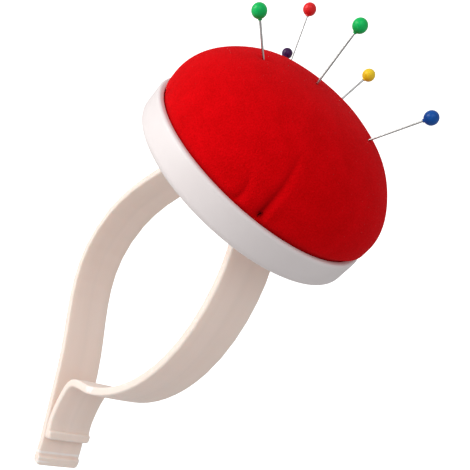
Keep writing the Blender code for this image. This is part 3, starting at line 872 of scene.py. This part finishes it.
cover_places = corners("cushion_cover")
cover_radii = np.hypot(cover_places[:, 0], cover_places[:, 1])
cover_low, cover_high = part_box("cushion_cover")
dome_radius = cover_radii.max()
widest_z = cover_places[cover_radii > dome_radius - SAME_LEVEL, 2].mean()
dome_rise = cover_high.z - widest_z
tucked_radius = cup_inner - CLEARANCE
under = soften(
    [(dome_radius + OVERHANG, widest_z), (dome_radius + OVERHANG - LIP_LEAN, rim_z + ROLL_RISE),
     (tucked_radius, rim_z), (tucked_radius, cover_low.z), (0, cover_low.z)],
    [BELLY_ROUND, CREASE_ROUND, TUCK_ROUND],
)
under_reached = np.concatenate([[0], np.cumsum([(b - a).length for a, b in zip(under, under[1:])])])


def cushion_place(way):
    """The place on the cushion's surface that a direction from a ball's middle stands for."""
    latitude = math.asin(max(-1, min(1, way.z)))
    around = Vector((way.x, way.y))
    if around.length > 0:
        around.normalize()
    fuller = FULLER_BY * max(0, math.cos(math.atan2(way.y, way.x) - FULL_SIDE)) ** 2
    if latitude >= 0:
        hang = (OVERHANG + fuller) * math.cos(latitude) ** 4
        radius = (dome_radius + hang) * math.cos(latitude) ** DOME_FULLNESS
        return Vector((*(around * radius), widest_z + dome_rise * math.sin(latitude)))
    distance = -latitude / math.radians(90) * under_reached[-1]
    radius, level = (np.interp(distance, under_reached, [p[k] for p in under]) for k in (0, 1))
    radius += fuller * smooth_step((level - rim_z - CLEARANCE) / ROLL_RISE)
    return Vector((*(around * radius), level))


shape = bmesh.new()
bmesh.ops.create_cube(shape, size=2)
bmesh.ops.subdivide_edges(shape, edges=shape.edges, cuts=GRID - 1, use_grid_fill=True)
for v in shape.verts:
    even = Vector([math.tan(x * math.radians(45)) for x in v.co])
    v.co = cushion_place(even.normalized())
cushion = add_mesh("cushion_cloth", shape, 180)
print("cushion points", len(cushion.data.vertices))
print("dome radius and rise in mm", in_mm([dome_radius, dome_rise]))
# %% [markdown]
# ### Where the pins go in
# The cloth dips a little round each pin, so the cushion has to know the pins' lines. Each shaft's top
# corners give the middle of its head, its slide gives the way it points, and a walk down that line finds
# the cloth.
# %% Pin lines
PINS = [joint["child"] for joint in frame["joints"] if joint["type"] == "slide"]


def outside_dome(place):
    """Above 0 outside the dome, 0 on it and below 0 inside."""
    share = math.hypot(place.x, place.y) / dome_radius
    return share ** (2 / DOME_FULLNESS) + ((place.z - widest_z) / dome_rise) ** 2 - 1


def pin_line(pin):
    """A pin's head middle, the way from its point to its head, and where it enters the cushion."""
    joint = next(j for j in frame["joints"] if j["child"] == pin)
    way = Vector(joint["axis"]).normalized()
    places = corners(f"{pin}_shaft")
    heights = places @ np.array(way)
    middle = Vector(places[heights > heights.max() - SAME_LEVEL].mean(0))
    entry = middle.copy()
    while outside_dome(entry) > 0:
        entry -= way * 0.05 * MM
    return middle, way, entry


pin_lines = {pin: pin_line(pin) for pin in PINS}
for pin, (middle, _, entry) in pin_lines.items():
    print(pin, "enters at", in_mm(entry), "and stands", in_mm([(middle - entry).length]), "mm")
# %% [markdown]
# ### Where the tucks run
# A flat disc drawn round a ball has cloth to spare at its edge. Most of it is gathered away underneath,
# and a little runs up the side as tucks: one long tuck and one short at the near side, faint ones
# elsewhere. A tuck is a sharp line in a soft valley, and the cloth beside it stands up, more on the side
# that folds over.
# %% Tucks
TUCKS = [  # heading and lean in degrees, height above the rim, strength from 0 to 1
    (-27, -4, 15.5 * MM, 1.0),
    (-38.5, -2, 7.5 * MM, 0.65),
    (24, -3, 3.5 * MM, 0.25),
    (75, 3, 7.0 * MM, 0.45),
    (140, -2, 4.5 * MM, 0.4),
    (196, 4, 8.5 * MM, 0.5),
    (262, -3, 6.0 * MM, 0.35),
]
TUCK_ONSET = 1.6 * MM  # how far above the lip a tuck takes to reach its full depth
TUCK_CORE, TUCK_CORE_WIDTH = 0.45 * MM, 0.55 * MM
TUCK_VALLEY, TUCK_VALLEY_WIDTH = 0.6 * MM, 2.1 * MM
TUCK_SHOULDER, TUCK_SHOULDER_AT, TUCK_SHOULDER_WIDTH = 0.32 * MM, 1.8 * MM, 1.0 * MM
TUCK_SHOULDERS = ((1, 1.0), (-1, 0.45))  # each side of a tuck, and how high its shoulder is
TUCK_WANDER = 0.8  # degrees


def bell(distance, width):
    return np.exp(-((distance / width) ** 2))


def from_tuck(places, tuck):
    """How far places lie to the side of a tuck, and how much of its strength is left at their height."""
    heading, lean, reach, strength = tuck
    share = np.clip((places[:, 2] - rim_z) / reach, 0, 1.5)
    line = np.radians(heading + lean * share + TUCK_WANDER * np.sin(share * 5 + heading))
    turn = np.arctan2(places[:, 1], places[:, 0]) - line
    turn = (turn + math.pi) % math.tau - math.pi
    onset = np.clip((places[:, 2] - rim_z) / TUCK_ONSET, 0, 1)
    fade = onset * (2 - onset) * np.clip(1 - share, 0, 1) ** 0.7
    return turn * np.hypot(places[:, 0], places[:, 1]), fade * strength


def tuck_depth(places):
    """How far the tucks draw each place inward."""
    depth = np.zeros(len(places))
    for tuck in TUCKS:
        side, fade = from_tuck(places, tuck)
        depth += fade * TUCK_CORE * bell(side, TUCK_CORE_WIDTH)
        depth += fade**1.6 * TUCK_VALLEY * bell(side, TUCK_VALLEY_WIDTH)
        for way, share in TUCK_SHOULDERS:
            depth -= fade * share * TUCK_SHOULDER * bell(side - way * TUCK_SHOULDER_AT, TUCK_SHOULDER_WIDTH)
    return depth


print("tucks", len(TUCKS), "deepest in mm", in_mm([TUCK_CORE + TUCK_VALLEY]))
# %% [markdown]
# ### Fill the cushion
# Blender's cloth solver blows the form up with a little pressure and no gravity. The rim, the tucks and
# the pin holes hold the cloth, and it swells between them, as packed fibre makes it. The solver is made
# for furniture, so the piece is ten times its size while it runs. No point may move more than a small
# cap, which keeps the result inside the CAD cushion's space.
# %% Cloth simulation
SIM_SCALE = 10
SIM_FRAMES = 20
PRESSURE = 4.0
SWELL_CAP = 0.85 * MM
HELD_ABOVE_RIM = ROLL_RISE
HELD_BY_TUCK, HELD_BY_PIN = 0.6 * MM, 0.9 * MM  # how far to each side the cloth is held
HELD_STRENGTH = 0.35  # of the tuck where it still holds the cloth
SHRUNK_ONSET = 3 * MM  # how far above the rim the form is shrunk in full


def normals_of(piece):
    return np.array([v.normal for v in piece.data.vertices])


def move_to(piece, places):
    piece.data.vertices.foreach_set("co", places.ravel())
    piece.data.update()


def fill_cushion(piece, held):
    """Swell a closed piece with the cloth solver. held is a list of points that stay."""
    start = places_of(piece)
    group = piece.vertex_groups.new(name="held")
    group.add(held, 1.0, "REPLACE")
    move_to(piece, start * SIM_SCALE)
    filling = piece.modifiers.new("filling", "CLOTH")
    filling.settings.quality = 5
    filling.settings.use_pressure = True
    filling.settings.uniform_pressure_force = PRESSURE
    filling.settings.effector_weights.gravity = 0
    filling.settings.vertex_group_mass = group.name
    filling.collision_settings.use_collision = False
    filling.point_cache.frame_start = 1
    filling.point_cache.frame_end = SIM_FRAMES
    for step in range(1, SIM_FRAMES + 1):
        bpy.context.scene.frame_set(step)
    seen = piece.evaluated_get(bpy.context.evaluated_depsgraph_get())
    swollen = places_of(seen) / SIM_SCALE
    piece.modifiers.remove(filling)
    piece.vertex_groups.clear()
    bpy.context.scene.frame_set(1)
    moved = swollen - start
    length = np.maximum(np.linalg.norm(moved, axis=1), 1e-9)
    capped = SWELL_CAP * np.tanh(length / SWELL_CAP)
    move_to(piece, start + moved * (capped / length)[:, None])
    print("the filling moves the cloth by, mean and most in mm:", in_mm([capped.mean(), capped.max()]))


form = places_of(cushion)
rise_share = np.clip((form[:, 2] - rim_z) / SHRUNK_ONSET, 0, 1)
move_to(cushion, form - normals_of(cushion) * (SHRUNK * rise_share)[:, None])
held = form[:, 2] <= rim_z + HELD_ABOVE_RIM
for tuck in TUCKS:
    side, fade = from_tuck(form, tuck)
    held |= (abs(side) < HELD_BY_TUCK) & (fade > HELD_STRENGTH)
for _, _, entry in pin_lines.values():
    held |= np.linalg.norm(form - np.array(entry), axis=1) < HELD_BY_PIN
fill_cushion(cushion, [int(i) for i in np.flatnonzero(held)])
print("held points", int(held.sum()), "of", len(form))
# %% [markdown]
# ### Fine shape of the cloth
# One subdivision smooths what the solver left. The faces along the tucks are then cut finer, because a
# sharp fold needs points to bend at. The tucks, a dimple round each pin and a slight unevenness are
# pressed in along the normals.
# %% Tucks, dimples and unevenness
FINE_BESIDE = 1.9 * MM
DIMPLE, DIMPLE_WIDTH, DIMPLE_REACH = 0.32 * MM, 1.0 * MM, 6 * MM
UNEVEN, UNEVEN_SIZE, UNEVEN_ONSET = 0.16 * MM, 11 * MM, 4 * MM
DARKEST_FOLD, FOLD_POWER = 0.8, 1.4  # how dark a fold gets, and how narrow the dark part is


def near_tucks(places):
    near = np.zeros(len(places), bool)
    for tuck in TUCKS:
        side, fade = from_tuck(places, tuck)
        near |= (abs(side) < FINE_BESIDE * (0.4 + 0.6 * tuck[3])) & (fade > 0)
    return near


@contextmanager
def editing(piece):
    """A piece's mesh as a bmesh, put back when the edit is done."""
    shape = bmesh.new()
    shape.from_mesh(piece.data)
    yield shape
    shape.to_mesh(piece.data)
    shape.free()


def refine_tucks(piece):
    """Cut the faces beside the tucks into four."""
    with editing(piece) as shape:
        middles = np.array([f.calc_center_median() for f in shape.faces])
        fine = [f for f, near in zip(list(shape.faces), near_tucks(middles)) if near]
        cut = list({edge for f in fine for edge in f.edges})
        bmesh.ops.subdivide_edges(shape, edges=cut, cuts=1, use_grid_fill=True)


def press(piece):
    """Press the tucks, the dimples and the unevenness into a cushion surface."""
    places = places_of(piece)
    depth = tuck_depth(places)
    stored = piece.data.attributes.new(FOLD_SHADE, "FLOAT", "POINT")
    darkness = np.clip(depth / (TUCK_CORE + TUCK_VALLEY), 0, DARKEST_FOLD) ** FOLD_POWER
    stored.data.foreach_set("value", darkness)
    for _, way, entry in pin_lines.values():
        to_entry = places - np.array(entry)
        to_line = np.linalg.norm(to_entry - np.outer(to_entry @ np.array(way), way), axis=1)
        here = np.linalg.norm(to_entry, axis=1) < DIMPLE_REACH
        depth += here * DIMPLE * bell(to_line, DIMPLE_WIDTH)
    fade = np.clip((places[:, 2] - rim_z) / UNEVEN_ONSET, 0, 1)
    depth += fade * UNEVEN * np.array([noise.noise(Vector(place) / UNEVEN_SIZE) for place in places])
    move_to(piece, places - normals_of(piece) * depth[:, None])


smoothing = cushion.modifiers.new("smoothing", "SUBSURF")
smoothing.levels = smoothing.render_levels = 1
settle(cushion)
stuffing = bpy.data.objects.new("packed_fibre", cushion.data.copy())
bpy.context.scene.collection.objects.link(stuffing)
refine_tucks(cushion)
refine_tucks(cushion)
press(cushion)
pressed = places_of(cushion)
pressed_size = [np.hypot(pressed[:, 0], pressed[:, 1]).max(), pressed[:, 2].max()]
print("cushion points", len(pressed), "radius and top in mm", in_mm(pressed_size))
print("in the CAD model they are", in_mm([dome_radius, cover_high.z]))
# %% [markdown]
# ### Cover and stuffing
# The cover is cloth of real thickness, open underneath where the thread gathers it. Solidify turns the
# surface into cloth. The stuffing is a second surface just inside it, cut flat on the card disc.
# %% Cover
CLOTH_THICKNESS = 0.8 * MM
UNDERSIDE = 0.2 * MM  # faces this near the cushion's foot are its underside
gather_radius = cover_radii[cover_places[:, 2] < cover_low.z + SAME_LEVEL].min()
with editing(cushion) as shape:
    middles = [(f, f.calc_center_median()) for f in shape.faces]
    open_faces = [f for f, m in middles if m.z < cover_low.z + UNDERSIDE and m.xy.length < gather_radius]
    bmesh.ops.delete(shape, geom=open_faces, context="FACES")
thicken = cushion.modifiers.new("cloth", "SOLIDIFY")
thicken.thickness = CLOTH_THICKNESS
thicken.offset = -1
settle(cushion)
cushion.data.shade_smooth()
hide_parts("cushion_cover")
wear(cushion, "cover_cloth")
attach(cushion, "cushion_and_cup")
print("cover faces", len(cushion.data.polygons), "gathered inside a radius of", in_mm([gather_radius]), "mm")
# %% Stuffing
LUMP, LUMP_SIZE = 0.35 * MM, 2.2 * MM
TUCK_ROOM = 1.6  # how much deeper than the cloth's own tucks the room left for them is
surface_now = places_of(stuffing)
tuck_room = np.maximum(tuck_depth(surface_now), 0) * TUCK_ROOM
lumps = LUMP * np.array([0.5 + 0.5 * noise.noise(Vector(place) / LUMP_SIZE) for place in surface_now])
inward = CLOTH_THICKNESS + CLEARANCE + tuck_room + lumps
move_to(stuffing, surface_now - normals_of(stuffing) * inward[:, None])
on_card = Vector((0, 0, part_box("pin_guard_disc")[1].z + CLEARANCE))
with editing(stuffing) as shape:
    everything = shape.verts[:] + shape.edges[:] + shape.faces[:]
    bmesh.ops.bisect_plane(shape, geom=everything, plane_co=on_card, plane_no=(0, 0, -1), clear_outer=True)
    bmesh.ops.holes_fill(shape, edges=[edge for edge in shape.edges if edge.is_boundary])
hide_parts("cushion_stuffing")
wear(stuffing, "stuffing_fibre")
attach(stuffing, "cushion_and_cup")
print("stuffing from", in_mm(places_of(stuffing).min(0)), "to", in_mm(places_of(stuffing).max(0)))
# %% [markdown]
# ## The pins
# A ball-headed pin is a steel wire ground to a point, with plastic moulded on the other end. The ball has
# a small collar where the plastic ran down the wire. Ball and shaft are both turned shapes, set along the
# pin's own line.
# %% Pins
SHAFT_STEPS, HEAD_STEPS = 24, 64
POINT_TURNS = (18, 36, 54, 68, 78, 85)  # degrees round the ground point
POINT_FULLNESS = 0.75
HEAD_BORE, BORE_TOP = 0.02 * MM, 0.1 * MM  # room round the wire in the head, and above the head's middle
COLLAR_WALL, COLLAR_LENGTH, COLLAR_ROUND = 0.16 * MM, 0.22 * MM, 0.08 * MM
BALL_RINGS = 26


def reach_of(node, middle, way):
    """How far up a pin from its head's middle a node's corners are, and how far from its line."""
    places = corners(node) - np.array(middle)
    heights = places @ np.array(way)
    return heights, np.linalg.norm(places - np.outer(heights, way), axis=1)


def make_shaft(pin, middle, way):
    heights, radii = reach_of(f"{pin}_shaft", middle, way)
    radius = radii.max()
    taper = heights[radii > 0.9 * radius].min()
    point = heights.min()
    outline = [(0, 0), (radius, 0), (radius, taper)]
    for turn in POINT_TURNS:
        share = math.cos(math.radians(turn)) ** POINT_FULLNESS
        outline.append((radius * share, taper + (point - taper) * turn / 90))
    shaft = turned(f"{pin}_wire", outline + [(0, point)], SHAFT_STEPS, middle, way)
    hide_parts(f"{pin}_shaft")
    wear(shaft, "pin_steel")
    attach(shaft, pin)
    return radius


def make_head(pin, middle, way, shaft_radius):
    heights, radii = reach_of(f"{pin}_head", middle, way)
    radius = heights.max()
    foot = max(heights.min(), -radius - COLLAR_LENGTH)
    bore = shaft_radius + HEAD_BORE
    collar = min(bore + COLLAR_WALL, radii[heights < heights.min() + SAME_LEVEL].max())
    first = math.asin(collar / radius)
    ball = [(radius * math.sin(t), -radius * math.cos(t)) for t in np.linspace(first, math.pi, BALL_RINGS)]
    neck = soften([(bore, foot), (collar, foot), (collar, ball[0][1])], [COLLAR_ROUND])
    outline = [(0, BORE_TOP), (bore, BORE_TOP), *(tuple(p) for p in neck), *ball[1:-1], (0, radius)]
    head = turned(f"{pin}_ball", outline, HEAD_STEPS, middle, way, 60)
    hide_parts(f"{pin}_head")
    wear(head, pin.removesuffix("_pin").split("_")[-1])
    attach(head, pin)
    return radius, collar


for pin, (middle, way, _) in pin_lines.items():
    shaft_radius = make_shaft(pin, middle, way)
    head_radius, collar = make_head(pin, middle, way, shaft_radius)
    print(pin, "head, collar and shaft radius in mm:", in_mm([head_radius, collar, shaft_radius]))
# %% [markdown]
# ## Small parts that stay as the CAD made them
# The washers, the ring of glue, the gathering thread and the card disc are already the right shape. They
# only need their finishes.
# %% Finish the CAD pieces
KEPT = {
    "left_rivet_washer": "rivet_metal",
    "right_rivet_washer": "rivet_metal",
    "glue_ring": "glue",
    "gathering_thread": "thread",
    "pin_guard_disc": "guard_card",
}
for node, finish_name in KEPT.items():
    frame["nodes"][node].data.materials.clear()
    frame["nodes"][node].data.materials.append(bpy.data.materials[finish_name])
    print(node, "wears", finish_name)
# %% [markdown]
# ## The floor
# A wide pale sheet stands in for the table of a light tent. Straight to the camera it glows, as card that
# is lit from below does, so that it stays white. To the object it is only pale grey card, which keeps the
# underside in shade.
# %% Floor
FLOOR_DROP = 20 * MM
FLOOR_SIZE = 6.0
floor_card, shader, place = new_finish("floor_card", Roughness=0.9, Emission_Color=shade(1, 1, 1))
tree = floor_card.node_tree
mottle = ranged(tree, noise_in(tree, place, 60 * MM), 0, 1)
card = blended(tree, mottle, shade(0.74, 0.73, 0.72), shade(0.77, 0.76, 0.75))
tree.links.new(card, shader.inputs["Base Color"])
seen = put(tree, "ShaderNodeLightPath").outputs["Is Camera Ray"]
tree.links.new(seen, shader.inputs["Emission Strength"])
shape = bmesh.new()
bmesh.ops.create_grid(shape, x_segments=8, y_segments=8, size=FLOOR_SIZE / 2)
bmesh.ops.translate(shape, vec=(0, 0, cad_low.z - FLOOR_DROP), verts=shape.verts)
floor = add_mesh("floor_sheet", shape)
floor.data.materials.append(floor_card)
print("floor at", in_mm([cad_low.z - FLOOR_DROP]), "mm")
